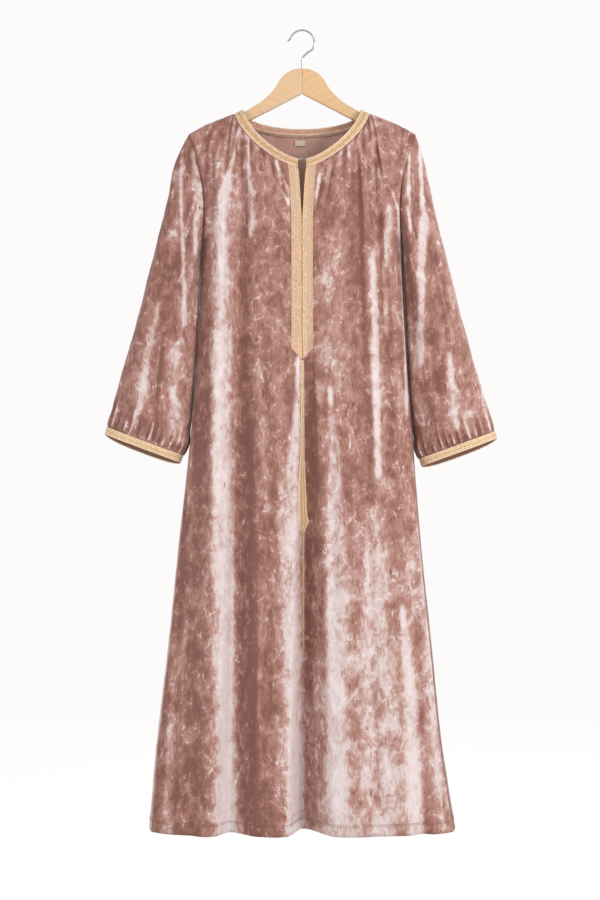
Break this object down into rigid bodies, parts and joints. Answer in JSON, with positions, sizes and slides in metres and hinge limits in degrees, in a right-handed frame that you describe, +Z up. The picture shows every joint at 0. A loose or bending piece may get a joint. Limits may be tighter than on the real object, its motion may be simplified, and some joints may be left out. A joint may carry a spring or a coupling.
{
  "type": "kaftan on a hanger",
  "caption": "Long velvet kaftan with a braided neck band, slit placket and braided cuffs, hung open-necked on a flat wooden hanger.",
  "frame": {"origin": "inside top of the hanger's hook, where a clothes rail carries it", "axes": "+Z up along the garment, -Y out of its front, +X towards the sleeve at a viewer's right"},
  "size_m": [0.7178, 0.1238, 1.46],
  "materials": {
    "velvet": "crushed velvet pile",
    "braid": "woven metallic braid",
    "tag": "woven tape",
    "wood": "satin varnish",
    "steel": "polished"
  },
  "bodies": {
    "root": {"front": "velvet", "back": "velvet", "sleeve_left": "velvet", "sleeve_right": "velvet", "neck_band_left": "braid", "neck_band_right": "braid", "neck_band_back": "braid", "cuff_band_left": "braid", "cuff_band_right": "braid", "placket_left": "braid", "placket_right": "braid", "centre_braid": "braid", "size_tag": "tag", "clasp_hook": "steel", "clasp_eye": "steel", "hanger_wood": "wood", "hanger_hook": "steel"}
  },
  "joints": []
}
